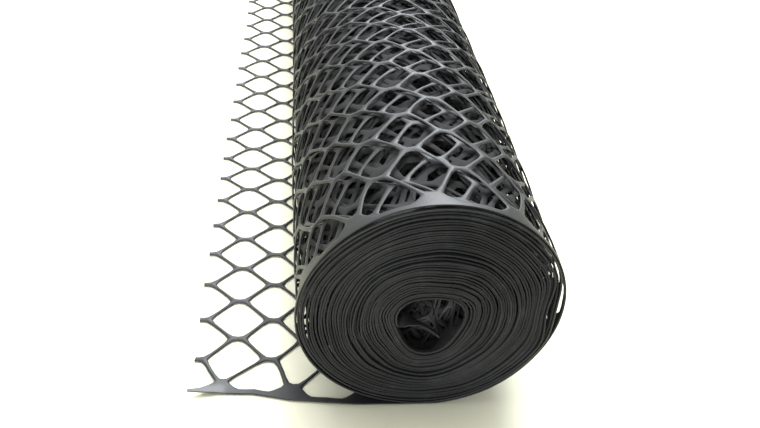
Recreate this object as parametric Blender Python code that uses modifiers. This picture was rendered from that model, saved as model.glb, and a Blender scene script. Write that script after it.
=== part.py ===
"""A roll of black plastic snow fence, lying on the ground with its outer end run out flat.

The fence is an extruded net of six-sided diamond cells: slanted strands meet in short bars that lie along
the fence, and a solid strip closes each edge. X runs across the roll, Y along its axis and Z up. The origin
is on the ground, in the middle of the whole thing.
"""

import math

import bmesh
import bpy
from mathutils import Vector

# Driving dimensions, in metres.
FENCE_WIDTH = 1.22  # the roll's length
ROLL_RADIUS = 0.100
FLAT_HALF = 0.0125  # half of the flat spot that the roll lies on
SEAM_X = -0.0085  # where the outer turn ends under the roll and the loose end takes over
TURN_DROP = 0.0033  # how far the surface has moved in after one turn
GAP = 0.0003  # between the two solids

CELL_LENGTH = 0.0586  # one repeat of the net along the fence: two columns of cells
ROWS = 26
EDGE_TO_ROW = 0.0128  # from the fence's edge to its first row of bars
STRIP_WIDTH = 0.0053  # the edge strip at its narrowest, up to the middle of the strand beside it
BAR_LENGTH = 0.011
STRAND_WIDTH = 0.0026
NET_THICKNESS = 0.0024
CELL_DEPTH = 0.0042  # how far the cells sink in between the strands on the roll
STRAND_SLOPE = 0.0026  # from the top of a strand on the roll to the foot of its side

STUB_COLUMN_X = -0.1805  # the cut bars at the loose end's edge, from the roll's axis
LOOSE_COLUMNS = (0, 5)
ROLL_COLUMNS = (7, 26)

HOLE_RADIUS = 0.0255  # the mean radius of the collapsed hole
HOLE_MIDDLE = (-0.002, -0.001)  # from the roll's axis, across and up
HOLE_CORNERS = 0.15  # how far the hole's three corners stand out, as a share of its radius
HOLE_DROP = 0.10  # how far the hole hangs down, as a share of its radius
HOLE_SIDES = 20
MAIN_TURNS = 5  # turns marked on each end face
TURNS_START = 0.10  # the marked turns, as shares of the way from the hole to the outer turn
TURNS_END = 0.92
TURN_SIDES = 18
GROOVE_DEPTH = 0.0018

# The loose end's drift, as it was pulled out a little askew.
DRIFT = 0.020  # the net slides this far along the roll
DRIFT_START = 0.055
STRIP_DRIFT = 0.021
NARROWING = 0.14  # the loose end is this share shorter past the reach of the narrowing
NARROWING_LENGTH = 0.85

# The plastic's colours and roughness.
ROLL_COLOUR = (0.030, 0.031, 0.032)
ROLL_ROUGHNESS = 0.46
LOOSE_COLOUR = (0.045, 0.045, 0.046)
LOOSE_ROUGHNESS = 0.42

# Sizes that follow.
COLUMN = CELL_LENGTH / 2
ROW = (FENCE_WIDTH - 2 * EDGE_TO_ROW) / ROWS
CELL_WIDE = CELL_LENGTH - BAR_LENGTH
AXIS_Z = math.sqrt(ROLL_RADIUS**2 - FLAT_HALF**2)
LOOSE_REACH = BAR_LENGTH / 2 - STUB_COLUMN_X  # from the roll's axis to the cut edge
END_RADIUS = ROLL_RADIUS - TURN_DROP
FLAT_ANGLE = -math.pi / 2 + math.asin(FLAT_HALF / ROLL_RADIUS)
SEAM_ANGLE = 1.5 * math.pi + math.asin(SEAM_X / END_RADIUS)
TURN_LENGTH = (SEAM_ANGLE - FLAT_ANGLE) * (ROLL_RADIUS + END_RADIUS) / 2
RIGHT_REACH = ROLL_RADIUS + TURN_DROP * FLAT_ANGLE / (SEAM_ANGLE - FLAT_ANGLE)
AXIS_X = (LOOSE_REACH - RIGHT_REACH) / 2
WELD = 1e-5
CELL_MARK = 1  # the material index that tells cells from strands while a net is made
SHARP_ANGLE = math.radians(25)


def smooth(value, low, high):
    """0 below low, 1 above high, and an even curve between."""
    share = min(max((value - low) / (high - low), 0.0), 1.0)
    return share * share * (3 - 2 * share)


def column_x(column):
    """The middle of a column of cells, from the point under the roll's axis along the fence."""
    return STUB_COLUMN_X + column * COLUMN


def cells_of(column):
    """The six corners of each cell in a column, from one edge strip to the other.

    Even columns have a cell on each row line, cut by the strips at both ends. Odd ones lie between the lines.
    """
    middle = column_x(column)
    even = column % 2 == 0
    for row in range(ROWS + 1 if even else ROWS):
        centre = EDGE_TO_ROW + (row + (0 if even else 0.5)) * ROW
        low = max(centre - ROW / 2, STRIP_WIDTH)
        high = min(centre + ROW / 2, FENCE_WIDTH - STRIP_WIDTH)
        yield [
            Vector((middle - BAR_LENGTH / 2, low, 0)),
            Vector((middle + BAR_LENGTH / 2, low, 0)),
            Vector((middle + CELL_WIDE / 2, centre, 0)),
            Vector((middle + BAR_LENGTH / 2, high, 0)),
            Vector((middle - BAR_LENGTH / 2, high, 0)),
            Vector((middle - CELL_WIDE / 2, centre, 0)),
        ]


def add_face(mesh, corners):
    return mesh.faces.new([mesh.verts.new(corner) for corner in corners])


def beside(corner, x):
    return Vector((x, corner.y, 0))


def net_layout(columns, left=None, right=None):
    """The net laid flat, with its cells as whole faces, and a plain margin out to left and right if given."""
    mesh = bmesh.new()
    first, last = columns
    strips = []
    for column in range(first, last + 1):
        corners_of_cells = list(cells_of(column))
        for corners in corners_of_cells:
            if left is not None:
                corners[5].x = max(corners[5].x, left + BAR_LENGTH / 4)
            add_face(mesh, corners).material_index = CELL_MARK
            low_left, low_right, right_tip, high_right, high_left, left_tip = corners
            if column == first and left is not None:
                margin = [beside(low_left, left), low_left, left_tip, high_left, beside(high_left, left)]
                strips.append(margin)
            if column == last and right is not None:
                margin = [low_right, beside(low_right, right), beside(high_right, right), high_right, right_tip]
                strips.append(margin)
    for at_far_edge in (False, True):
        edge = FENCE_WIDTH if at_far_edge else 0.0
        line = []
        for column in range(first, last + 1):
            ends = list(cells_of(column))[-1 if at_far_edge else 0]
            line += [ends[4], ends[3]] if at_far_edge else [ends[0], ends[1]]
        if left is not None:
            line.insert(0, beside(line[0], left))
        if right is not None:
            line.append(beside(line[-1], right))
        for near, far in zip(line, line[1:]):
            quad = [Vector((near.x, edge, 0)), Vector((far.x, edge, 0)), far, near]
            strips.append(quad[::-1] if at_far_edge else quad)
    for corners in strips:
        add_face(mesh, corners)
    bmesh.ops.remove_doubles(mesh, verts=mesh.verts[:], dist=WELD)
    return mesh


def cell_faces(mesh):
    return [face for face in mesh.faces if face.material_index == CELL_MARK]


def hole_point(angle):
    """The hole's outline: a round tube of net fallen in to a blunt triangle that points down."""
    from_bottom = angle + math.pi / 2
    radius = HOLE_RADIUS * (1 + HOLE_CORNERS * math.cos(3 * from_bottom) + HOLE_DROP * math.cos(from_bottom))
    return Vector(HOLE_MIDDLE) + radius * Vector((math.cos(angle), math.sin(angle)))


def turn_radius(angle):
    """The outer turn's radius, which shrinks evenly from the flat spot round to the seam."""
    return ROLL_RADIUS - TURN_DROP * (angle - FLAT_ANGLE) / (SEAM_ANGLE - FLAT_ANGLE)


def wrap(point):
    """Takes a point of the flat net, with its height above the surface as z, to its place on the roll."""
    along = point.x - FLAT_HALF
    if along <= WELD:
        return Vector((AXIS_X + point.x, point.y - FENCE_WIDTH / 2, -point.z))
    angle = FLAT_ANGLE + along * (SEAM_ANGLE - FLAT_ANGLE) / TURN_LENGTH
    radius = turn_radius(angle) + point.z
    across = AXIS_X + radius * math.cos(angle)
    return Vector((across, point.y - FENCE_WIDTH / 2, AXIS_Z + radius * math.sin(angle)))


def open_edges(mesh, axis, place):
    """The open edges along one line of the mesh, where x (axis 0) or y (axis 1) has this value."""
    return [
        edge
        for edge in mesh.edges
        if edge.is_boundary and all(abs(vert.co[axis] - place) < WELD for vert in edge.verts)
    ]


def points_at(mesh, x):
    """The points at this place along the fence, from the near edge to the far one."""
    return sorted((vert for vert in mesh.verts if abs(vert.co.x - x) < WELD), key=lambda vert: vert.co.y)


def roll_mesh():
    """The wound form: the outer turn with its cells pressed in, closed by end faces and the hole's wall."""
    end = FLAT_HALF + TURN_LENGTH
    mesh = net_layout(ROLL_COLUMNS, left=FLAT_HALF, right=end)
    bmesh.ops.inset_individual(mesh, faces=cell_faces(mesh), thickness=STRAND_SLOPE, depth=-CELL_DEPTH)
    for face in mesh.faces:
        face.material_index = 0

    # The flat spot runs on from the margin to the seam.
    made = bmesh.ops.extrude_edge_only(mesh, edges=open_edges(mesh, 0, FLAT_HALF))["geom"]
    for vert in made:
        if isinstance(vert, bmesh.types.BMVert):
            vert.co.x = SEAM_X
    lower = points_at(mesh, SEAM_X)
    upper = points_at(mesh, end)
    for vert in mesh.verts:
        vert.co = wrap(vert.co)
    mesh.faces.new(lower + upper[::-1])

    holes = []
    for y in (-FENCE_WIDTH / 2, FENCE_WIDTH / 2):
        rim = open_edges(mesh, 1, y)
        ring = []
        for step in range(HOLE_SIDES):
            across = hole_point(math.tau * step / HOLE_SIDES)
            ring.append(mesh.verts.new((AXIS_X + across.x, y, AXIS_Z + across.y)))
        hole = [mesh.edges.new((ring[step - 1], ring[step])) for step in range(HOLE_SIDES)]
        outwards = (0, math.copysign(1, y), 0)
        bmesh.ops.triangle_fill(mesh, use_beauty=True, edges=rim + hole, normal=outwards)
        holes += hole
    bmesh.ops.bridge_loops(mesh, edges=holes)
    bmesh.ops.recalc_face_normals(mesh, faces=mesh.faces[:])
    return mesh


def groove_points(y):
    """The line between the main turns on an end face, from beside the hole out to the outer turn."""
    points = []
    for step in range(MAIN_TURNS * TURN_SIDES + 1):
        angle = FLAT_ANGLE + math.tau * step / TURN_SIDES
        share = TURNS_START + (TURNS_END - TURNS_START) * step / (MAIN_TURNS * TURN_SIDES)
        inner = hole_point(angle)
        outer = Vector((math.cos(angle), math.sin(angle))) * END_RADIUS
        across = inner.lerp(outer, share)
        points.append((AXIS_X + across.x, y, AXIS_Z + across.y))
    return points


def loose_mesh():
    """The loose end, flat: the net with its cells cut out, pulled a little askew as it lies."""
    right = SEAM_X - GAP
    mesh = net_layout(LOOSE_COLUMNS, right=right)
    around = {edge for cell in cell_faces(mesh) for edge in cell.edges if len(edge.link_faces) == 2}
    bmesh.ops.bevel(
        mesh,
        geom=list(around),
        offset=STRAND_WIDTH / 2,
        offset_type="OFFSET",
        segments=1,
        profile=0.5,
        affect="EDGES",
        material=0,
    )
    bmesh.ops.delete(mesh, geom=cell_faces(mesh), context="FACES")
    for vert in mesh.verts:
        vert.co.x = max(vert.co.x, -LOOSE_REACH)
        reach = -vert.co.x
        net = DRIFT * smooth(reach, 0, 2 * DRIFT_START)
        strip = STRIP_DRIFT * max((reach - DRIFT_START) / (LOOSE_REACH - DRIFT_START), 0)
        away = smooth(vert.co.y, 0, EDGE_TO_ROW + ROW / 2)
        fade = 1 - smooth(vert.co.y, NARROWING_LENGTH, FENCE_WIDTH)
        narrow = 1 - NARROWING * smooth(vert.co.y, 0, NARROWING_LENGTH)
        vert.co.x = AXIS_X + right + (vert.co.x - right) * narrow
        vert.co.y += (strip * (1 - away) + net * away) * fade - FENCE_WIDTH / 2
    return mesh


def plastic(name, colour, roughness):
    material = bpy.data.materials.new(name)
    material.use_nodes = True
    shader = material.node_tree.nodes["Principled BSDF"]
    shader.inputs["Base Color"].default_value = (*colour, 1)
    shader.inputs["Roughness"].default_value = roughness
    shader.inputs["Metallic"].default_value = 0.0
    return material


def add_object(name, mesh, collection, material=None):
    """A new object from a bmesh, in a collection."""
    data = bpy.data.meshes.new(name)
    mesh.to_mesh(data)
    mesh.free()
    if material is not None:
        data.materials.append(material)
    made = bpy.data.objects.new(name, data)
    collection.objects.link(made)
    return made


def add_groove(roll, y, collection):
    """Cuts one end face's spiral line into the roll with a square tube laid along it."""
    curve = bpy.data.curves.new("groove_line", "CURVE")
    curve.dimensions = "3D"
    curve.bevel_depth = GROOVE_DEPTH
    curve.bevel_resolution = 0
    curve.use_fill_caps = True
    spline = curve.splines.new("POLY")
    points = groove_points(y)
    spline.points.add(len(points) - 1)
    for point, place in zip(spline.points, points):
        point.co = (*place, 1)
    guide = bpy.data.objects.new("groove_line", curve)
    collection.objects.link(guide)
    bpy.context.view_layer.update()
    data = bpy.data.meshes.new_from_object(guide.evaluated_get(bpy.context.evaluated_depsgraph_get()))
    bpy.data.objects.remove(guide)
    tube = bmesh.new()
    tube.from_mesh(data)
    bpy.data.meshes.remove(data)
    bmesh.ops.remove_doubles(tube, verts=tube.verts[:], dist=WELD)
    bmesh.ops.recalc_face_normals(tube, faces=tube.faces[:])
    cutter = add_object("groove_cutter", tube, collection)
    cutter.hide_render = True
    cutter.display_type = "WIRE"
    cut = roll.modifiers.new("main turns", "BOOLEAN")
    cut.operation = "DIFFERENCE"
    cut.solver = "EXACT"
    cut.object = cutter


def main():
    for old in list(bpy.data.objects):
        bpy.data.objects.remove(old)
    fence = bpy.data.collections.new("snow fence roll")
    cutters = bpy.data.collections.new("cutters")
    for collection in (fence, cutters):
        bpy.context.scene.collection.children.link(collection)

    rolled_plastic = plastic("rolled black net", ROLL_COLOUR, ROLL_ROUGHNESS)
    roll = add_object("roll", roll_mesh(), fence, rolled_plastic)
    for y in (-FENCE_WIDTH / 2, FENCE_WIDTH / 2):
        add_groove(roll, y, cutters)

    loose_plastic = plastic("loose black net", LOOSE_COLOUR, LOOSE_ROUGHNESS)
    loose = add_object("loose_end", loose_mesh(), fence, loose_plastic)
    solid = loose.modifiers.new("net thickness", "SOLIDIFY")
    solid.thickness = NET_THICKNESS
    solid.offset = 1.0
    for made in (roll, loose):
        made.data.set_sharp_from_angle(angle=SHARP_ANGLE)


if __name__ == "__main__":
    main()
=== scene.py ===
"""A roll of black plastic snow fence with its outer end run out flat, laid out as an add-on.

The net is made flat, one repeat at a time, and then wound: each point keeps its place along and across the
fence, and a line across the roll says where that length of fence lies. Lengths are in metres.
"""

import math

import bmesh
import bpy
import numpy as np
from bpy.props import FloatProperty, FloatVectorProperty, IntProperty, PointerProperty
from mathutils import Matrix, Vector


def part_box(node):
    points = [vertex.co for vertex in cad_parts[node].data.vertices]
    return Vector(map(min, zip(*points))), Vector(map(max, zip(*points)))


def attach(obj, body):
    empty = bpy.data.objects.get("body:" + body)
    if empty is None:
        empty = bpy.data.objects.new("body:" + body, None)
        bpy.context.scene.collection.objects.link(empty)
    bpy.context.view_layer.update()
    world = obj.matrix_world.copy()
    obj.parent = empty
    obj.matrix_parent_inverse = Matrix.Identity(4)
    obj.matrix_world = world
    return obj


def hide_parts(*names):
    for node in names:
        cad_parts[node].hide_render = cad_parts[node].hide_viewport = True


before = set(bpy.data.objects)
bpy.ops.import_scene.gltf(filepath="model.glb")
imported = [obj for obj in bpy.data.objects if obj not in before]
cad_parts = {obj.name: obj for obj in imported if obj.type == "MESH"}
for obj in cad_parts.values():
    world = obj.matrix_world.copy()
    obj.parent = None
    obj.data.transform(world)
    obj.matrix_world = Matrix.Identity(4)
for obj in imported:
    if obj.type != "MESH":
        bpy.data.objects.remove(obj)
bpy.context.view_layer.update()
ROLL_LOW, ROLL_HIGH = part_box("roll")
LOOSE_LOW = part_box("loose_end")[0]

bl_info = {
    "name": "Snow fence roll",
    "version": (1, 0, 0),
    "blender": (4, 5, 0),
    "location": "View3D > Sidebar > Fence",
    "description": "Winds a diamond net of black plastic into a roll with a loose end",
    "category": "Add Mesh",
}

MILLIMETRE = 0.001
WELD = 1e-5  # points closer together than this are one
CUT_TOLERANCE = 1e-7
NO_LENGTH = 1e-9  # a step shorter than this has no direction


class FenceNet(bpy.types.PropertyGroup):
    """The net laid flat."""

    width: FloatProperty(
        name="Width",
        description="Across the fence, over both edge strips",
        default=ROLL_HIGH.y - ROLL_LOW.y,
        unit="LENGTH",
    )
    repeat: FloatProperty(
        name="Repeat",
        description="One repeat of the net along the fence, two columns of openings",
        default=0.0586,
        unit="LENGTH",
    )
    rows: IntProperty(name="Rows", description="Openings across the fence", default=26)
    edge_to_row: FloatProperty(
        name="Edge to row",
        description="From the fence's edge to its first row of bars",
        default=0.0128,
        unit="LENGTH",
    )
    strip_width: FloatProperty(
        name="Strip width",
        description="The edge strip at its narrowest, up to the middle of the strand beside it",
        default=0.0036,
        unit="LENGTH",
    )
    strip_narrow: FloatProperty(
        name="Narrow part of the strip",
        description="The strip's narrow length in each repeat",
        default=0.026,
        unit="LENGTH",
    )
    strip_thickness: FloatProperty(
        name="Strip thickness", description="The edge strips' thickness", default=0.0014, unit="LENGTH"
    )
    bar_length: FloatProperty(
        name="Bar length",
        description="The short bars where two strands run together",
        default=0.0090,
        unit="LENGTH",
    )
    bar_thickness: FloatProperty(
        name="Bar thickness", description="The net's thickness at its bars", default=0.0023, unit="LENGTH"
    )
    bar_width: FloatProperty(
        name="Bar width", description="Across a short bar", default=0.0045, unit="LENGTH"
    )
    strand_width: FloatProperty(
        name="Strand width",
        description="A strand's width midway between two bars",
        default=0.0030,
        unit="LENGTH",
    )
    strand_thickness: FloatProperty(
        name="Strand thickness",
        description="The net's thickness between its bars",
        default=0.0017,
        unit="LENGTH",
    )

    @property
    def column(self):
        return self.repeat / 2

    @property
    def row(self):
        return (self.width - 2 * self.edge_to_row) / self.rows


class FenceWinding(bpy.types.PropertyGroup):
    """The line that the fence follows across the roll."""

    radius: FloatProperty(
        name="Radius", description="The outer turn's outside radius", default=0.100, unit="LENGTH"
    )
    flat: FloatProperty(
        name="Flat spot",
        description="Half of the flat that the roll rests on",
        default=0.0125,
        unit="LENGTH",
    )
    right_reach: FloatProperty(
        name="Right reach",
        description="From the axis to the roll's right side",
        default=0.0992,
        unit="LENGTH",
    )
    turns: FloatProperty(
        name="Turns", description="Turns from the ground to the inner end", default=39.8
    )
    outer_pitch: FloatProperty(
        name="Outer pitch", description="How far the first turn moves in", default=0.0023, unit="LENGTH"
    )
    cut_column: FloatProperty(
        name="Cut column",
        description="The middle of the bars left at the cut edge, from the axis along the fence",
        default=-0.1805,
        unit="LENGTH",
    )
    seam: FloatProperty(
        name="Seam",
        description="Where the loose end meets the roll, from the axis",
        default=-0.0087,
        unit="LENGTH",
    )
    hole_radius: FloatProperty(
        name="Hole radius", description="The collapsed hole's mean radius", default=0.0265, unit="LENGTH"
    )

    @property
    def axis(self):
        return Vector((ROLL_HIGH.x - self.right_reach, math.sqrt(self.radius**2 - self.flat**2)))


class FencePlastic(bpy.types.PropertyGroup):
    """The plastic's finish."""

    colour: FloatVectorProperty(
        name="Colour",
        description="The black plastic",
        default=(0.012, 0.0125, 0.013),
        size=3,
        subtype="COLOR",
    )
    worn_colour: FloatVectorProperty(
        name="Worn colour",
        description="Where it is rubbed or dusty",
        default=(0.049, 0.050, 0.053),
        size=3,
        subtype="COLOR",
    )
    # Painted shade: away from the roll's ends, the turns under the outer ones take this colour, with the
    # deep roughness and deep shine below, in place of the plastic's own. It stands in for the shade they lie
    # in.
    deep_painted_shade: FloatVectorProperty(
        name="Deep painted shade",
        description="The turns under the outer ones",
        default=(0.036, 0.036, 0.036),
        size=3,
        subtype="COLOR",
    )
    # Painted light, not dust: away from the roll's ends, the innermost turns take this pale colour. It lifts
    # the inside of the hole, which the lamps barely reach.
    hole_painted_light: FloatVectorProperty(
        name="Hole painted light",
        description="The innermost turns, dusty from the ground",
        default=(0.20, 0.20, 0.20),
        size=3,
        subtype="COLOR",
    )
    # Painted sheen: the pale corner of the loose end stands in for the back light's highlight on its bent-up
    # strip.
    corner_painted_sheen: FloatVectorProperty(
        name="Corner painted sheen",
        description="The pale corner of the loose end",
        default=(0.088, 0.088, 0.088),
        size=3,
        subtype="COLOR",
    )
    roughness: FloatProperty(
        name="Roughness", description="The clean plastic's roughness", default=0.45
    )
    deep_roughness: FloatProperty(
        name="Deep roughness", description="The roughness under the outer turns", default=0.85
    )
    shine: FloatProperty(name="Shine", description="The specular level", default=0.38)
    deep_shine: FloatProperty(
        name="Deep shine", description="The specular level under the outer turns", default=0.08
    )


class FenceStage(bpy.types.PropertyGroup):
    """The camera's place, the floor and the light all round."""

    camera_left: FloatProperty(
        name="Camera left",
        description="How far the camera stands left of the axis",
        default=0.1146,
        unit="LENGTH",
    )
    camera_back: FloatProperty(
        name="Camera back",
        description="From the roll's near end back to the camera",
        default=0.4679,
        unit="LENGTH",
    )
    camera_height: FloatProperty(
        name="Camera height",
        description="The camera's height above the ground",
        default=0.530,
        unit="LENGTH",
    )
    camera_down: FloatProperty(
        name="Camera down",
        description="How far the camera looks down",
        default=math.radians(35.53),
        subtype="ANGLE",
    )
    camera_turn: FloatProperty(
        name="Camera turn",
        description="How far it turns to the right",
        default=math.radians(8.22),
        subtype="ANGLE",
    )
    camera_roll: FloatProperty(
        name="Camera roll",
        description="How far it is rolled over",
        default=math.radians(5.0),
        subtype="ANGLE",
    )
    lens: FloatProperty(name="Lens", description="Focal length in millimetres", default=40.54)
    floor_colour: FloatVectorProperty(
        name="Floor colour",
        description="The white floor, a little yellow",
        default=(0.92, 0.915, 0.72),
        size=3,
        subtype="COLOR",
    )
    floor_size: FloatProperty(
        name="Floor size", description="Half of the floor's side", default=40, unit="LENGTH"
    )
    room_light: FloatProperty(
        name="Room light", description="The strength of the light from all round", default=0.30
    )


def smooth(value, low, high):
    """0 below low, 1 above high and an even curve between, for arrays."""
    share = np.clip((value - low) / (high - low), 0.0, 1.0)
    return share * share * (3 - 2 * share)


class Ripple:
    """Gentle unevenness over the fence, as a sum of waves with seeded directions."""

    def __init__(self, seed, size, shortest, longest, waves=7):
        draw = np.random.default_rng(seed)
        lengths = np.exp(draw.uniform(math.log(shortest), math.log(longest), waves))
        turns = draw.uniform(0, math.tau, waves)
        self.along = math.tau / lengths * np.cos(turns)
        self.across = math.tau / lengths * np.sin(turns)
        self.start = draw.uniform(0, math.tau, waves)
        self.size = size * math.sqrt(2 / waves)

    def at(self, along, across):
        """Its height at these places of the flat net."""
        phase = np.multiply.outer(along, self.along) + np.multiply.outer(across, self.across) + self.start
        return self.size * np.sin(phase).sum(axis=-1)


# How far in from an even spiral the loosely wound outer turns stand on each side of the roll, by the turn,
# in millimetres. Where it is below zero, they stand out.
SLACK_TURN = (0.0, 0.27, 0.75, 1.27, 1.75, 2.27, 2.75, 3.3, 3.8, 4.3, 6.0, 12.0, 30.0)
GAP_RIGHT = (0.0, 0.0, 2.0, 4.1, 4.1, 4.0, 6.0, 7.8, 7.2, 6.7, 5.1, 2.0, 0.0)
SAG_LEFT = (0.0, 0.0, -6.5, -6.5, -6.4, -6.3, -6.2, -6.1, -6.0, -5.9, -5.4, -3.0, 0.0)
SWELL_RIGHT = (0.0, -4.5, -4.5, -4.5, -4.4, -4.4, -4.3, -4.2, -4.0, -3.8, -3.0, -1.5, 0.0)
# The middle and the reach of each round the roll.
GAP_PLACE = (math.radians(91), math.radians(24))
SAG_PLACE = (math.radians(280), math.radians(70))
SWELL_PLACE = (math.radians(96), math.radians(70))
# How much of each shows, by how far across the fence.
SLACK_ACROSS = (0.0, 0.010, 0.035, 0.08, 0.16, 0.30, 0.60, 0.90)
GAP_SHARE = (1.0, 1.0, 0.15, 0.0, 0.0, 0.0, 0.0, 0.0)
SAG_SHARE = (1.0, 1.0, 0.98, 0.95, 0.85, 0.6, 0.1, 0.0)
SWELL_SHARE = (0.7, 0.7, 0.8, 1.0, 1.0, 1.0, 0.7, 0.0)
SLACKS = (
    (GAP_RIGHT, GAP_PLACE, GAP_SHARE),
    (SAG_LEFT, SAG_PLACE, SAG_SHARE),
    (SWELL_RIGHT, SWELL_PLACE, SWELL_SHARE),
)

# Lumps and hollows: how many round the roll, their height in millimetres, and their start and drift by turn.
WAVES = (
    (2, 0.7, 0.4, 0.05),
    (3, 0.6, 2.1, -0.10),
    (5, 0.45, 0.9, 0.16),
    (8, 0.28, 3.0, -0.25),
    (13, 0.16, 1.2, 0.40),
)
WAVES_START = (1.5, 6.0)  # the turns over which they set in
WAVES_END = 5  # the last turns, over which they die away

SETTLE = 3.0  # how many turns the winding takes to go from its outer pitch to its inner one

# The hole's corners, as waves round it and their share of its radius, and its middle from the axis.
HOLE_WAVES = ((1, 0.05), (2, 0.04), (3, 0.09))
HOLE_MIDDLE = (-0.0012, -0.0105)
# The bends of the tail across the hole, from the axis, and its points from one bend to the next.
TAIL_BENDS = ((-0.0190, -0.0125), (-0.0070, -0.0130), (0.0080, -0.0260))
TAIL_STEPS = 8

HALF_STEP = 0.5 * MILLIMETRE  # how far before and after a point its direction is taken


def lobe(angle, middle, reach):
    """1 at the middle, falling to 0 at the reach on either side, for angles round the roll."""
    away = np.abs((angle - middle + math.pi) % math.tau - math.pi)
    return 0.5 + 0.5 * np.cos(np.clip(away / reach, 0, 1) * math.pi)


class Winding:
    """Where each length of fence lies: flat on the ground, then round the roll and into the hole."""

    STEPS = 360  # points in each turn

    def __init__(self, net, shape):
        self.net = net
        self.shape = shape
        half = net.bar_thickness / 2
        turn = np.arange(int(shape.turns * self.STEPS)) / self.STEPS
        angle = turn * math.tau
        out = self.outer_line(angle, shape.radius - half, half, turn)
        core = self.hole_line(angle)
        span = shape.radius - shape.hole_radius
        settling = SETTLE * (1 - math.exp(-shape.turns / SETTLE))
        inner_pitch = (span - shape.outer_pitch * settling) / (shape.turns - settling)
        depth = inner_pitch * turn
        depth = depth + (shape.outer_pitch - inner_pitch) * SETTLE * (1 - np.exp(-turn / SETTLE))
        share = (depth / span)[:, None]
        line = out * (1 - share) + core * share
        inwards = -line / np.linalg.norm(line, axis=1)[:, None]
        line = line + inwards * self.waves(angle, turn)[:, None]
        tail = self.tail(line[-1])
        self.tight = np.vstack([line, tail])
        self.moves = []
        for table, place, share in SLACKS:
            slack = np.interp(turn, SLACK_TURN, table) * lobe(angle, *place) * MILLIMETRE
            self.moves.append((np.vstack([inwards * slack[:, None], 0 * tail]), share))
        line = self.tight + sum(move * share[0] for move, share in self.moves)
        steps = np.linalg.norm(np.diff(line, axis=0), axis=1)
        self.along = np.concatenate([[0.0], np.cumsum(steps)])
        self.ground = line[0, 1]
        self.length = self.along[-1]
        self.turn_ends = np.interp(np.arange(int(shape.turns) + 1), turn, self.along[: len(turn)])

    def outer_line(self, angle, radius, half, turn):
        """The outer turn round the axis, flattened where it lies on the ground."""
        across = radius * np.sin(angle)
        up = -radius * np.cos(angle)
        ground = half - self.shape.axis.y
        up = np.where(turn < 0.5, np.maximum(up, ground), up)
        return np.stack([across, up], axis=1)

    def waves(self, angle, turn):
        """Lumps and hollows that neighbouring turns share."""
        last = self.shape.turns
        settled = smooth(turn, *WAVES_START) * (1 - smooth(turn, last - WAVES_END, last))
        total = np.zeros_like(angle)
        for lobes, size, start, drift in WAVES:
            total += size * MILLIMETRE * np.sin(lobes * angle + start + drift * turn)
        return total * settled

    def hole_line(self, angle):
        """The hole's outline, fallen in to a blunt triangle that points down."""
        waves = sum(height * np.cos(lobes * angle) for lobes, height in HOLE_WAVES)
        radius = self.shape.hole_radius * (1 + waves)
        across, up = HOLE_MIDDLE
        return np.stack([across + radius * np.sin(angle), up - radius * np.cos(angle)], axis=1)

    def tail(self, start):
        """The last of the fence leaves the hole's left wall and lies across it."""
        bends = [Vector(start), *map(Vector, TAIL_BENDS)]
        points = []
        for first, last in zip(bends, bends[1:]):
            for step in range(1, TAIL_STEPS + 1):
                points.append(tuple(first.lerp(last, step / TAIL_STEPS)))
        return np.array(points)

    def coordinate(self, along, across, axis):
        """A coordinate of the line at these lengths of fence, with its slack for that far across."""
        value = np.interp(along, self.along, self.tight[:, axis])
        for move, share in self.moves:
            value += np.interp(along, self.along, move[:, axis]) * np.interp(across, SLACK_ACROSS, share)
        return value

    def step(self, along, across, axis):
        """How far a coordinate of the line goes in a short step of fence."""
        after = self.coordinate(along + HALF_STEP, across, axis)
        return after - self.coordinate(along - HALF_STEP, across, axis)

    def place(self, along, across, height):
        """The world places of points of the flat net, as arrays of x, y and z."""
        axis = self.shape.axis
        level = [[1.0, 0.0]]
        right = self.coordinate(along, across, 0)
        up = self.coordinate(along, across, 1)
        ahead = np.stack([self.step(along, across, 0), self.step(along, across, 1)], axis=1)
        size = np.linalg.norm(ahead, axis=1)[:, None]
        ahead = np.where(size > NO_LENGTH, ahead / np.maximum(size, NO_LENGTH), level)
        flat = along < 0
        ahead = np.where(flat[:, None], level, ahead)
        right = np.where(flat, along, right)
        up = np.where(flat, self.ground, up)
        x = axis.x + right - ahead[:, 1] * height
        z = axis.y + up + ahead[:, 0] * height
        return x, across - self.net.width / 2, z


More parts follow.
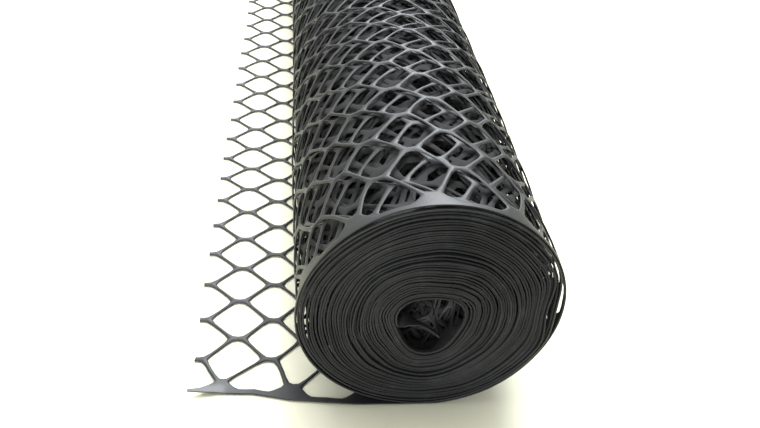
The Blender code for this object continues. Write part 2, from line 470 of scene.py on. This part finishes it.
class Stretching:
    """How the net was pulled out of square against its edge strip, and askew where it was run out.

    Each table goes by the length of fence from under the axis, or by how far across from its near edge.
    """

    # How far in from the roll's near end the net's edge and its strip lie.
    NET_ALONG = (-0.190, -0.150, -0.122, -0.090, 0.00, 0.30, 0.45, 0.78, 1.60, 2.60, 4.00)
    NET_IN = (0.0195, 0.0200, 0.0176, 0.0160, 0.0155, 0.0175, 0.0170, 0.0090, 0.0085, 0.0120, 0.0100)
    LOOSE_STRIP_ALONG = (-0.187, -0.170, -0.151, -0.122, -0.107, -0.0926, -0.070, -0.040)
    LOOSE_STRIP_IN = (0.0150, 0.0150, 0.0162, 0.0147, 0.0114, 0.0078, 0.0049, 0.0015)
    ROLLED_STRIP_ALONG = (0.06, 0.25, 0.38, 0.55, 0.90, 1.50, 2.50)
    ROLLED_STRIP_IN = (0.0, 0.0035, 0.0040, 0.0015, 0.0025, 0.0005, 0.0010)
    # Where, across the fence, the strip's place gives way to the net's, and from where both fade out.
    STRIP_TO_NET = (0.006, 0.034)
    FADE_FROM = 0.85
    # How much further in the net lies away from its near edge, and how much more it does in the roll.
    FURTHER_ACROSS = (0.045, 0.120, 0.25, 0.30, 0.35, 0.41, 0.50, 0.59, 0.72, 0.85)
    FURTHER_IN = (0.0, 0.0050, 0.0055, 0.0015, -0.0035, -0.0065, -0.0055, -0.0030, 0.0015, 0.0040)
    OFFSET_ACROSS = (0.030, 0.036, 0.059, 0.082, 0.105, 0.150, 0.20, 0.26, 0.32, 0.45)
    OFFSET_IN = (-0.0015, -0.0015, 0.0038, 0.0046, 0.0065, 0.0082, 0.0105, 0.0105, 0.0060, 0.0)
    ROLLED = (0.10, 0.20)
    # How much narrower the strip is at its cut end, and where.
    THINNED = 0.45
    THIN_ALONG = (0.168, 0.183)
    THIN_ACROSS = (0.006, 0.012)
    # How far the strip lags behind the net along the fence, and how far across that dies away.
    LAG_ALONG = (-0.160, -0.093, 0.0, 0.26, 0.32, 0.38)
    LAG = (0.0123, 0.0146, 0.0110, 0.0122, 0.0075, 0.0105)
    LAG_ACROSS = 0.045
    # How much further back the strip is cut than it would be, and where.
    TRIM = 0.0066
    TRIM_ALONG = (0.164, 0.183)
    TRIM_ACROSS = (0.004, 0.020)
    # How closely the strip's first peak is drawn together, and its reach.
    PINCH = 0.40
    PINCH_ALONG = 0.012
    PINCH_ACROSS = (0.008, 0.030)
    # How far the net creeps forward in the first turns, and how far its rows lean forward in the roll.
    CREEP_ALONG = (0.02, 0.20, 0.26, 0.30, 0.36, 0.50, 0.70, 0.82)
    CREEP = (0.0, 0.0040, 0.0055, 0.0085, 0.0125, 0.0125, 0.0060, 0.0110)
    DEEP_CREEP_ALONG = (0.90, 0.95, 1.30, 1.55, 1.90, 2.15, 2.50)
    DEEP_CREEP = (0.0260, 0.0320, 0.0234, 0.0234, 0.0353, 0.0353, 0.0409)
    LEAN_ACROSS = (0.013, 0.059, 0.105, 0.150, 0.25, 0.60)
    LEAN = (0.0, 0.0010, 0.0050, 0.0080, 0.0080, 0.0)
    # How far the loose end was pushed towards the roll, up to its last column of bars before the roll, and
    # how much wider its openings beyond that column are.
    PUSH_ACROSS = (0.0, 0.045, 0.08, 0.22, 0.40, 0.59, 0.73, 1.00)
    PUSH = (0.0, 0.0018, 0.0030, 0.0047, 0.0092, 0.0130, 0.0154, 0.0165)
    WIDER = (0.0, 0.06, 0.09, 0.07, 0.07, 0.02, -0.04, -0.04)

    def __init__(self, net, shape):
        self.width = net.width
        self.seam = shape.seam
        self.peak = shape.cut_column + net.column
        self.last_column = shape.cut_column + 2 * net.column

    def strip_in(self, along):
        """How far in from the roll's near end the strip lies."""
        places = self.LOOSE_STRIP_ALONG + self.ROLLED_STRIP_ALONG
        return np.interp(along, places, self.LOOSE_STRIP_IN + self.ROLLED_STRIP_IN)

    def aside(self, along, across, fade):
        """How far across the fence's width each point lies."""
        to_net = smooth(across, *self.STRIP_TO_NET)
        net = np.interp(along, self.NET_ALONG, self.NET_IN)
        net = net + np.interp(across, self.FURTHER_ACROSS, self.FURTHER_IN)
        rolled = smooth(along, *self.ROLLED)
        net = net + np.interp(across, self.OFFSET_ACROSS, self.OFFSET_IN) * rolled
        thin = smooth(-along, *self.THIN_ALONG) * (1 - smooth(across, *self.THIN_ACROSS))
        drawn_in = self.strip_in(along) * (1 - to_net) + net * to_net
        return across * (1 - self.THINNED * thin) + drawn_in * fade

    def creep(self, along, across):
        """How far forward the net has crept."""
        places = self.CREEP_ALONG + self.DEEP_CREEP_ALONG
        lean = np.interp(across, self.LEAN_ACROSS, self.LEAN) * smooth(along, *self.ROLLED)
        return np.interp(along, places, self.CREEP + self.DEEP_CREEP) + lean

    def push(self, along, across):
        """How far the loose end was pushed towards the roll."""
        push = np.interp(across, self.PUSH_ACROSS, self.PUSH)
        near = np.clip((along - self.seam) / (self.last_column - self.seam), 0, 1)
        beyond = np.minimum(along - self.last_column, 0)
        return push * near + beyond * np.interp(across, self.PUSH_ACROSS, self.WIDER)

    def apply(self, along, across):
        """The places along and across the fence that points of the square net have moved to."""
        fade = 1 - smooth(across, self.FADE_FROM, self.width)
        lag = np.interp(along, self.LAG_ALONG, self.LAG) * (1 - smooth(across, 0, self.LAG_ACROSS)) * fade
        cut_end = smooth(-along, *self.TRIM_ALONG)
        trim = self.TRIM * (1 - smooth(across, *self.TRIM_ACROSS)) * cut_end
        from_peak = along - self.peak
        pinch = self.PINCH * from_peak * np.exp(-((from_peak / self.PINCH_ALONG) ** 2))
        pinch = pinch * (1 - smooth(across, *self.PINCH_ACROSS))
        moved = along - lag + trim - pinch + self.creep(along, across) + self.push(along, across)
        return moved, self.aside(along, across, fade)


def round_corners(face, share):
    """Draws each corner of a loop towards the middle of its neighbours."""
    verts = list(face.verts)
    places = [vert.co.copy() for vert in verts]
    for index, vert in enumerate(verts):
        middle = (places[index - 1] + places[(index + 1) % len(places)]) / 2
        vert.co.x += (middle.x - vert.co.x) * share
        vert.co.y += (middle.y - vert.co.y) * share


BAR_FULL = 0.25  # how far from its middle a bar has its full width, as a share of its length
BAR_TAPER = 0.8  # how much further it narrows to a strand, as a share of its length


def widen_bars(face, net, middle, share):
    """Moves an opening's rim away from the bars above and below it, and a little at their ends."""
    extra = (net.bar_width - net.strand_width) / 2 * share
    for vert in face.verts:
        beyond = max(abs(vert.co.x - middle.x) - net.bar_length * BAR_FULL, 0)
        near = max(1 - beyond / (net.bar_length * BAR_TAPER), 0)
        near = near * near * (3 - 2 * near)
        vert.co.y += extra * near * (1 if vert.co.y < middle.y else -1)


# How many cuts each strand has, and how many steps there are from its middle line to its edge.
FINE = (3, 2)
MEDIUM = (1, 2)
COARSE = (1, 1)
PLAIN = (0, 1)
# Each of those steps, as its share of the half width, the height it keeps and how far it rounds corners.
RINGS = {
    1: ((1.0, 0.0, 0.25),),
    2: ((0.55, 0.80, 0.16), (0.45, 0.0, 0.22)),
}
STRIP_PIECES = 4  # of the strip's narrow part, beside each opening


def add_opening(bm, net, middle, low, high, detail, half_low=None):
    """One opening with its share of the strands around it, from their middle lines to their edges.

    Its lower side is a bar, or the strip's narrow part where half_low is given.
    Returns the faces made and the edges along the middle lines.
    """
    cuts, rings = detail
    half_bar = net.bar_length / 2
    tip = net.repeat / 2 - half_bar
    pieces = STRIP_PIECES if half_low else (2 if cuts > 1 else 1)
    half_low = half_low or half_bar
    corners = [(middle.x + half_low * (2 * piece / pieces - 1), low) for piece in range(pieces + 1)]
    corners += [
        (middle.x + tip, middle.y),
        (middle.x + half_bar, high),
        (middle.x - half_bar, high),
        (middle.x - tip, middle.y),
    ]
    if cuts > 1:
        corners.insert(-2, (middle.x, high))
    before = set(bm.faces)
    face = bm.faces.new([bm.verts.new((*corner, net.bar_thickness / 2)) for corner in corners])
    at_bars = set(face.verts)
    slanted = [edge for edge in face.edges if abs(edge.verts[0].co.y - edge.verts[1].co.y) > WELD]
    if cuts:
        bmesh.ops.subdivide_edges(bm, edges=slanted, cuts=cuts)
    for vert in face.verts:
        if vert not in at_bars:
            vert.co.z = net.strand_thickness / 2
    half_width = net.strand_width / 2
    for share, height, rounding in RINGS[rings]:
        bmesh.ops.inset_individual(bm, faces=[face], thickness=half_width * share, use_even_offset=True)
        round_corners(face, rounding)
        widen_bars(face, net, middle, share)
        for vert in face.verts:
            vert.co.z *= height
    bmesh.ops.delete(bm, geom=[face], context="FACES_ONLY")
    made = [new for new in bm.faces if new not in before]
    crown = [
        edge
        for edge in {edge for new in made for edge in new.edges}
        if edge.is_boundary and all(vert.co.z > WELD for vert in edge.verts)
    ]
    return made, crown


STRIP_ROUNDING = 0.4 * MILLIMETRE  # how far in from its edge the strip begins to round off


def add_strip(bm, net, crown):
    """The edge strip, drawn from the middle lines of the first strands out to the fence's edge."""
    first = net.edge_to_row
    rim = [edge for edge in crown if all(vert.co.y < first + WELD for vert in edge.verts)]
    made = []
    for y, z in ((STRIP_ROUNDING, net.strip_thickness / 2), (0, 0)):
        new = bmesh.ops.extrude_edge_only(bm, edges=rim)["geom"]
        made += [item for item in new if isinstance(item, bmesh.types.BMFace)]
        rim = [item for item in new if isinstance(item, bmesh.types.BMEdge) and item.is_boundary]
        verts = [item for item in new if isinstance(item, bmesh.types.BMVert)]
        for vert in verts:
            vert.co.y = y
            vert.co.z = z
        rim = [edge for edge in rim if all(vert in verts for vert in edge.verts)]
    return made


def geometry_of(faces):
    """The faces with their edges and corners, as one list."""
    verts = {vert for face in faces for vert in face.verts}
    edges = {edge for face in faces for edge in face.edges}
    return list(verts) + list(edges) + list(faces)


def repeat_across(bm, net, faces, count):
    """Repeats an opening's faces across the fence, a row at a time, until there are this many."""
    for step in range(1, count):
        copy = bmesh.ops.duplicate(bm, geom=geometry_of(faces))["geom"]
        verts = [item for item in copy if isinstance(item, bmesh.types.BMVert)]
        bmesh.ops.translate(bm, verts=verts, vec=(0, step * net.row, 0))


EDGE_CUTS = 2  # the least in a strand beside the edge strip


def net_repeat(net, detail):
    """One repeat of the net, over its whole width: a column with openings on its rows, and one between."""
    bm = bmesh.new()
    first = net.edge_to_row
    at_edge = (max(detail[0], EDGE_CUTS), detail[1])
    edge_faces, crown = add_opening(
        bm, net, Vector((0, first)), net.strip_width, first + net.row / 2, at_edge, net.strip_narrow / 2
    )
    edge_faces += add_strip(bm, net, crown)
    between, crown = add_opening(
        bm, net, Vector((net.column, first + net.row / 2)), first, first + net.row, detail
    )
    edge_faces += add_strip(bm, net, crown)
    copy = bmesh.ops.duplicate(bm, geom=geometry_of(edge_faces))["geom"]
    verts = [item for item in copy if isinstance(item, bmesh.types.BMVert)]
    bmesh.ops.scale(bm, vec=(1, -1, 1), verts=verts, space=Matrix.Translation((0, -net.width / 2, 0)))
    repeat_across(bm, net, between, net.rows)
    centre = first + net.row
    on_row, crown = add_opening(
        bm, net, Vector((0, centre)), centre - net.row / 2, centre + net.row / 2, detail
    )
    repeat_across(bm, net, on_row, net.rows - 1)
    bmesh.ops.mirror(bm, geom=bm.verts[:] + bm.edges[:] + bm.faces[:], axis="Z", merge_dist=WELD)
    bmesh.ops.remove_doubles(bm, verts=bm.verts[:], dist=WELD)
    return bm


def new_object(name, bm):
    """Turns a bmesh into an object of the scene."""
    data = bpy.data.meshes.new(name)
    bm.to_mesh(data)
    bm.free()
    made = bpy.data.objects.new(name, data)
    bpy.context.scene.collection.objects.link(made)
    return made


def cap(bm, along, keep_right):
    """Cuts the flat net across and closes the cut strands."""
    geometry = bm.verts[:] + bm.edges[:] + bm.faces[:]
    bmesh.ops.bisect_plane(
        bm,
        geom=geometry,
        dist=CUT_TOLERANCE,
        plane_co=(along, 0, 0),
        plane_no=(1, 0, 0),
        clear_inner=keep_right,
        clear_outer=not keep_right,
    )
    open_edges = [
        edge
        for edge in bm.edges
        if edge.is_boundary and all(abs(vert.co.x - along) < WELD for vert in edge.verts)
    ]
    bmesh.ops.holes_fill(bm, edges=open_edges, sides=0)


def flat_net(net, shape, start, end, detail):
    """The flat net between two places along the fence, as one closed mesh."""
    first = math.floor((start - shape.cut_column - net.column * 2) / net.repeat)
    last = math.ceil((end - shape.cut_column + net.column) / net.repeat)
    one = new_object("net_repeat", net_repeat(net, detail))
    array = one.modifiers.new("along", "ARRAY")
    array.count = last - first + 1
    array.use_relative_offset = False
    array.use_constant_offset = True
    array.constant_offset_displace = (net.repeat, 0, 0)
    bpy.context.view_layer.update()
    data = bpy.data.meshes.new_from_object(one.evaluated_get(bpy.context.evaluated_depsgraph_get()))
    bpy.data.objects.remove(one)
    bm = bmesh.new()
    bm.from_mesh(data)
    bpy.data.meshes.remove(data)
    bmesh.ops.translate(bm, verts=bm.verts[:], vec=(shape.cut_column + first * net.repeat, 0, 0))
    bmesh.ops.remove_doubles(bm, verts=bm.verts[:], dist=WELD)
    bmesh.ops.recalc_face_normals(bm, faces=bm.faces[:])
    cap(bm, start, True)
    cap(bm, end, False)
    return bm


# The unevenness of the net, each kind with its seed, its height in millimetres and its shortest and longest
# wave in metres.
RIPPLES = {
    "along": (11, 1.1, 0.05, 0.30),
    "across": (12, 1.1, 0.05, 0.30),
    "lift": (13, 0.5, 0.06, 0.25),
    "slip": (14, 0.9, 0.3, 2.0),
    "deep_along": (161, 6.0, 0.12, 0.60),
    "deep_across": (162, 6.0, 0.12, 0.60),
}
# Where it sets in along the fence, that of the roll and that of the turns under the outer ones.
ROLL_UNEVEN = (-0.02, 0.05)
DEEP_UNEVEN = (1.15, 1.7)
# How far in from the fence's edges it sets in.
EDGE_EVEN = (0, 0.03)
DEEP_EDGE_EVEN = (0.01, 0.05)
LOOSE_SHARE = 0.35  # of the roll's unevenness, in the loose end
EDGE_LIFT_SHARE = 0.6  # of the lift, at the fence's edges

CORNER_LIFT = 0.0048  # how far the loose end's near corner curls up
CORNER_ACROSS = 0.026
CORNER_ALONG = (0.135, 0.190)


def between_edges(across, width, low, high):
    """0 at both edges of the fence and 1 between them, for arrays."""
    return smooth(across, low, high) * smooth(width - across, low, high)


def wind(made, winding, stretching):
    """Moves the points of a flat net to their places on the ground or in the roll."""
    data = made.data
    width = winding.net.width
    flat = np.empty(len(data.vertices) * 3, np.float32)
    data.vertices.foreach_get("co", flat)
    along, across, height = flat.reshape(-1, 3).T.astype(np.float64)
    ripple = {}
    for name, (seed, size, shortest, longest) in RIPPLES.items():
        ripple[name] = Ripple(seed, size * MILLIMETRE, shortest, longest)
    rolled = smooth(along, *ROLL_UNEVEN)
    share = LOOSE_SHARE + (1 - LOOSE_SHARE) * rolled
    inner = between_edges(across, width, *EDGE_EVEN)
    deep = smooth(along, *DEEP_UNEVEN) * between_edges(across, width, *DEEP_EDGE_EVEN)
    moved, aside = stretching.apply(along, across)
    moved = moved + ripple["along"].at(along, across) * share * inner
    moved = moved + ripple["deep_along"].at(along, across) * deep
    aside = aside + ripple["across"].at(along, across) * share * inner
    aside = aside + ripple["slip"].at(along, np.zeros_like(along)) * rolled
    aside = aside + ripple["deep_across"].at(along, across) * deep
    lift = ripple["lift"].at(along, across) * rolled
    height = height + lift * (EDGE_LIFT_SHARE + (1 - EDGE_LIFT_SHARE) * inner)
    corner = (1 - smooth(across, 0, CORNER_ACROSS)) * smooth(-along, *CORNER_ALONG)
    height = height + CORNER_LIFT * corner
    x, y, z = winding.place(moved, aside, height)
    data.vertices.foreach_set("co", np.stack([x, y, z], axis=1).astype(np.float32).ravel())
    data.update()


class Value:
    """A number in a node tree, to be written in sums."""

    def __init__(self, tree, socket):
        self.tree = tree
        self.socket = socket

    def math(self, operation, *others, flipped=False):
        node = self.tree.nodes.new("ShaderNodeMath")
        node.operation = operation
        values = [self, *others]
        if flipped:
            values.reverse()
        for slot, value in zip(node.inputs, values):
            if isinstance(value, Value):
                self.tree.links.new(value.socket, slot)
            else:
                slot.default_value = value
        return Value(self.tree, node.outputs[0])

    def __add__(self, other):
        return self.math("ADD", other)

    __radd__ = __add__

    def __mul__(self, other):
        return self.math("MULTIPLY", other)

    __rmul__ = __mul__

    def __sub__(self, other):
        return self.math("SUBTRACT", other)

    def __rsub__(self, other):
        return self.math("SUBTRACT", other, flipped=True)


class Finish:
    """A material's node tree, built a node at a time."""

    # The sockets of a Mix node that colours go through, which share their names with those for numbers.
    MIX_SHARE, MIX_FIRST, MIX_SECOND, MIXED = 0, 6, 7, 2

    def __init__(self, name):
        self.material = bpy.data.materials.new(name)
        self.material.use_nodes = True
        self.tree = self.material.node_tree
        self.shader = self.tree.nodes["Principled BSDF"]

    def node(self, kind, settings=None, **values):
        """Adds a node, sets its settings first and then the values or links of its sockets."""
        made = self.tree.nodes.new(kind)
        for key, value in (settings or {}).items():
            setattr(made, key, value)
        for key, value in values.items():
            self.feed(made.inputs[key.replace("_", " ")], value)
        return made

    def feed(self, slot, value):
        if isinstance(value, Value):
            value = value.socket
        if isinstance(value, bpy.types.NodeSocket):
            self.tree.links.new(value, slot)
        else:
            slot.default_value = value

    def value(self, socket):
        return Value(self.tree, socket)

    def noise(self, place, scale, detail=3.0, rough=0.55):
        made = self.node("ShaderNodeTexNoise", Vector=place, Scale=scale, Detail=detail, Roughness=rough)
        return self.value(made.outputs["Fac"])

    def ramp(self, value, low, high):
        settings = {"interpolation_type": "SMOOTHSTEP"}
        made = self.node("ShaderNodeMapRange", settings, Value=value, From_Min=low, From_Max=high)
        return self.value(made.outputs["Result"])

    def mix(self, share, first, second):
        made = self.node("ShaderNodeMix", {"data_type": "RGBA"})
        self.feed(made.inputs[self.MIX_SHARE], share)
        self.feed(made.inputs[self.MIX_FIRST], first)
        self.feed(made.inputs[self.MIX_SECOND], second)
        return made.outputs[self.MIXED]


# How far the painted sheen on the corner reaches in from the loose end's cut edge and its near edge: faded,
# and in full.
SHEEN_FROM_CUT = (0.031, 0.024)
SHEEN_FROM_EDGE = (0.027, 0.021)

# How fine the finish's patterns are: the scale of each noise.
BROAD, PATCHES, GRAIN, FINEST = 11.0, 60.0, 900.0, 2600.0
PATCH_SHARE = 0.65  # of the patches in the scuffs, and the rest is grain
SCUFF_RANGE = (0.50, 0.66)
DUST_RANGE = (0.35, 0.75)
SCUFF_WEAR, DUST_WEAR = 0.35, 0.25
SCUFF_ROUGHNESS, DUST_ROUGHNESS = 0.12, 0.08
GRAIN_RELIEF, FINEST_RELIEF = 0.6, 0.4
# Added wear of the outer turns, and of the ends of those under them and round the hole.
WEAR = {"outer": 0.0, "inner": 0.40, "hole": 0.40}
# How far in from the roll's ends the deeper turns are rubbed like the outside, instead of taking their
# painted shade or painted light colour: at all, and in full.
RUBBED_ENDS = (0.045, 0.020)


def painted_sheen_corner(finish, place):
    """A mask of the edge strip's cut corner, where it bends up and takes a painted sheen that makes it pale.
    """
    apart = finish.node("ShaderNodeSeparateXYZ", Vector=place)
    x = finish.value(apart.outputs["X"])
    y = finish.value(apart.outputs["Y"])
    at_cut = finish.ramp(LOOSE_LOW.x - x, -SHEEN_FROM_CUT[0], -SHEEN_FROM_CUT[1])
    at_edge = finish.ramp(LOOSE_LOW.y - y, -SHEEN_FROM_EDGE[0], -SHEEN_FROM_EDGE[1])
    return at_cut * at_edge


def plastic(look, name, depth):
    """Black extruded plastic: a satin skin with scuffs, a little dust and a fine grain, and a painted sheen
    on the loose end's bent-up corner.

    Turns that lie under others are a dull copy with a painted shade colour, and those round the hole one
    with a painted light colour, but for their ends, which are rubbed like the outside.
    """
    shaded = depth != "outer"
    finish = Finish(name)
    place = finish.node("ShaderNodeTexCoord").outputs["Object"]
    broad = finish.noise(place, BROAD)
    patches = finish.noise(place, PATCHES)
    grain = finish.noise(place, GRAIN, detail=2.0)
    finest = finish.noise(place, FINEST, detail=1.0)
    scuffs = finish.ramp(patches * PATCH_SHARE + grain * (1 - PATCH_SHARE), *SCUFF_RANGE)
    dust = finish.ramp(broad, *DUST_RANGE)
    worn = scuffs * SCUFF_WEAR + dust * DUST_WEAR + WEAR[depth]
    rough = look.roughness + scuffs * SCUFF_ROUGHNESS + dust * DUST_ROUGHNESS
    if shaded:
        y = finish.value(finish.node("ShaderNodeSeparateXYZ", Vector=place).outputs["Y"])
        faded, full = RUBBED_ENDS
        ends = finish.ramp(y.math("ABSOLUTE"), ROLL_HIGH.y - faded, ROLL_HIGH.y - full)
        worn = worn * ends
        rough = look.deep_roughness - (look.deep_roughness - rough) * ends
    colour = finish.mix(worn, (*look.colour, 1), (*look.worn_colour, 1))
    if shaded:
        # Away from the roll's ends, the under turns take a painted shade colour. The hole turns take a pale
        # painted light colour, which lifts the hole's dark inside.
        deep = look.deep_painted_shade if depth == "inner" else look.hole_painted_light
        colour = finish.mix(ends, (*deep, 1), colour)
    else:
        # The loose end's bent-up corner gets a painted sheen, pale as if it caught the back light.
        colour = finish.mix(painted_sheen_corner(finish, place), colour, (*look.corner_painted_sheen, 1))
    finish.feed(finish.shader.inputs["Base Color"], colour)
    finish.feed(finish.shader.inputs["Roughness"], rough)
    finish.feed(finish.shader.inputs["Specular IOR Level"], look.deep_shine if shaded else look.shine)
    relief = grain * GRAIN_RELIEF + finest * FINEST_RELIEF
    bump = finish.node("ShaderNodeBump", Height=relief, Strength=0.25, Distance=0.4 * MILLIMETRE)
    finish.feed(finish.shader.inputs["Normal"], bump.outputs["Normal"])
    return finish.material


def black_plastic(depth):
    """The plastic of turns at this depth, made once and shared."""
    name = f"black plastic, {depth} turns"
    return bpy.data.materials.get(name) or plastic(bpy.context.scene.fence_plastic, name, depth)


SHARP_ANGLE = math.radians(50)


def add_net(name, start, end, detail, depth="outer"):
    """A wound or flat stretch of the fence, finished as one piece."""
    scene = bpy.context.scene
    net = scene.fence_net
    shape = scene.fence_winding
    winding = Winding(net, shape)
    made = new_object(name, flat_net(net, shape, start, end, detail))
    wind(made, winding, Stretching(net, shape))
    made.data.materials.append(black_plastic(depth))
    made.data.shade_smooth()
    made.data.set_sharp_from_angle(angle=SHARP_ANGLE)
    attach(made, "root")
    return made


PIECE_GAP = 0.1 * MILLIMETRE  # between two stretches of the fence


class FENCE_OT_loose_end(bpy.types.Operator):
    """Lays the loose end flat beside the roll."""

    bl_idname = "fence.loose_end"
    bl_label = "Loose end"

    CUT_SHORT = 0.0026  # how much of the last bars is cut off
    PUSHED_SHARE = 0.925  # of the loose end's length, left once it was pushed towards the roll
    PLASTIC_SHARE = 0.302  # of its area, the openings left out

    def execute(self, context):
        net = context.scene.fence_net
        shape = context.scene.fence_winding
        start = shape.cut_column - net.bar_length / 2 + self.CUT_SHORT
        made = add_net("loose_end_net", start, shape.seam, FINE)
        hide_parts("loose_end")
        length = (shape.seam - start) * self.PUSHED_SHARE
        area = self.PLASTIC_SHARE * net.width * length
        return {"FINISHED"}


class FENCE_OT_roll(bpy.types.Operator):
    """Winds the rest of the fence into the roll, the outer turns in finer detail than those they hide."""

    bl_idname = "fence.roll"
    bl_label = "Wound turns"

    # Name, first turn, last turn, detail and depth of each stretch. The depth picks the finish: a painted
    # shade for the inner turns and a painted light for the hole turns, away from the roll's ends.
    STRETCHES = (
        ("outer_turn", 0, 1, FINE, "outer"),
        ("second_turn", 1, 2, FINE, "outer"),
        ("third_and_fourth_turns", 2, 4, MEDIUM, "inner"),
        ("middle_turns", 4, 9, COARSE, "inner"),
        ("inner_turns", 9, 20, PLAIN, "inner"),
        ("deep_turns", 20, 36, PLAIN, "hole"),
        ("innermost_turns", 36, None, COARSE, "hole"),
    )

    def execute(self, context):
        scene = context.scene
        winding = Winding(scene.fence_net, scene.fence_winding)
        for name, first, last, detail, depth in self.STRETCHES:
            start = winding.turn_ends[first] if first else scene.fence_winding.seam + PIECE_GAP
            end = winding.turn_ends[last] if last else winding.length
            made = add_net(name, start, end - PIECE_GAP, detail, depth)
            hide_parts("roll")
        return {"FINISHED"}


SUN_DISTANCE = 3
FLOOR_DROP = 0.2 * MILLIMETRE
NEAREST_SEEN = 0.01  # the camera's near limit


def add_sun(name, azimuth, height, spread, power, colour):
    """A broad, far light, placed in degrees right of straight behind the roll and above the ground."""
    data = bpy.data.lights.new(name, "SUN")
    data.energy = power
    data.color = colour
    data.angle = math.radians(spread)
    light = bpy.data.objects.new(name, data)
    bpy.context.scene.collection.objects.link(light)
    turn, up = math.radians(azimuth), math.radians(height)
    towards = Vector((math.sin(turn) * math.cos(up), math.cos(turn) * math.cos(up), math.sin(up)))
    light.rotation_euler = (-towards).to_track_quat("-Z", "Y").to_euler()
    light.location = towards * SUN_DISTANCE
    return light


class FENCE_OT_stage(bpy.types.Operator):
    """Makes the floor, the light and the camera."""

    bl_idname = "fence.stage"
    bl_label = "Stage"

    def execute(self, context):
        scene = context.scene
        stage = scene.fence_stage
        shape = scene.fence_winding
        bm = bmesh.new()
        bmesh.ops.create_grid(bm, x_segments=1, y_segments=1, size=stage.floor_size)
        bmesh.ops.translate(bm, verts=bm.verts[:], vec=(0, 0, -FLOOR_DROP))
        floor = new_object("floor", bm)
        ground = Finish("white floor")
        ground.feed(ground.shader.inputs["Base Color"], (*stage.floor_colour, 1))
        ground.feed(ground.shader.inputs["Roughness"], 0.6)
        ground.feed(ground.shader.inputs["Specular IOR Level"], 0.2)
        floor.data.materials.append(ground.material)

        world = bpy.data.worlds.new("studio")
        scene.world = world
        world.use_nodes = True
        back = world.node_tree.nodes["Background"]
        back.inputs["Color"].default_value = (1, 1, 1, 1)
        back.inputs["Strength"].default_value = stage.room_light

        add_sun("back light", azimuth=12, height=38, spread=22, power=3.1, colour=(0.90, 0.95, 1.0))
        add_sun("soft back light", azimuth=0, height=40, spread=80, power=2.6, colour=(0.95, 0.98, 1.0))
        add_sun("front light", azimuth=200, height=20, spread=40, power=1.3, colour=(0.97, 0.98, 1.0))
        add_sun("top light", azimuth=0, height=73, spread=50, power=2.6, colour=(1.0, 1.0, 1.0))

        data = bpy.data.cameras.new("camera")
        data.lens = stage.lens
        data.clip_start = NEAREST_SEEN
        camera = bpy.data.objects.new("camera", data)
        scene.collection.objects.link(camera)
        down, turn, roll = stage.camera_down, stage.camera_turn, stage.camera_roll
        ahead = Vector((math.sin(turn) * math.cos(down), math.cos(turn) * math.cos(down), -math.sin(down)))
        right = Vector((math.cos(turn), -math.sin(turn), 0))
        up = right.cross(ahead)
        side = math.cos(roll) * right + math.sin(roll) * up
        top = math.cos(roll) * up - math.sin(roll) * right
        left = shape.axis.x - stage.camera_left
        place = Vector((left, ROLL_LOW.y - stage.camera_back, stage.camera_height))
        turned = Matrix((side, top, -ahead)).transposed().to_4x4()
        camera.matrix_world = Matrix.Translation(place) @ turned
        scene.camera = camera
        scene.view_settings.view_transform = "Standard"
        return {"FINISHED"}


class FENCE_PT_panel(bpy.types.Panel):
    """The fence's sizes, finish and steps."""

    bl_label = "Snow fence roll"
    bl_idname = "FENCE_PT_panel"
    bl_space_type = "VIEW_3D"
    bl_region_type = "UI"
    bl_category = "Fence"

    def draw(self, context):
        for group in ("fence_net", "fence_winding", "fence_plastic", "fence_stage"):
            box = self.layout.box()
            settings = getattr(context.scene, group)
            for key in settings.bl_rna.properties.keys():
                if key not in ("rna_type", "name"):
                    box.prop(settings, key)
        for operator in OPERATORS:
            self.layout.operator(operator.bl_idname)


GROUPS = {
    "fence_net": FenceNet,
    "fence_winding": FenceWinding,
    "fence_plastic": FencePlastic,
    "fence_stage": FenceStage,
}
OPERATORS = (FENCE_OT_stage, FENCE_OT_loose_end, FENCE_OT_roll)


def register():
    for kind in (*GROUPS.values(), *OPERATORS, FENCE_PT_panel):
        bpy.utils.register_class(kind)
    for name, kind in GROUPS.items():
        setattr(bpy.types.Scene, name, PointerProperty(type=kind))


def unregister():
    for name in GROUPS:
        delattr(bpy.types.Scene, name)
    for kind in reversed((*GROUPS.values(), *OPERATORS, FENCE_PT_panel)):
        bpy.utils.unregister_class(kind)


def main():
    register()
    bpy.ops.fence.stage()
    bpy.ops.fence.loose_end()
    bpy.ops.fence.roll()


if __name__ == "__main__":
    main()
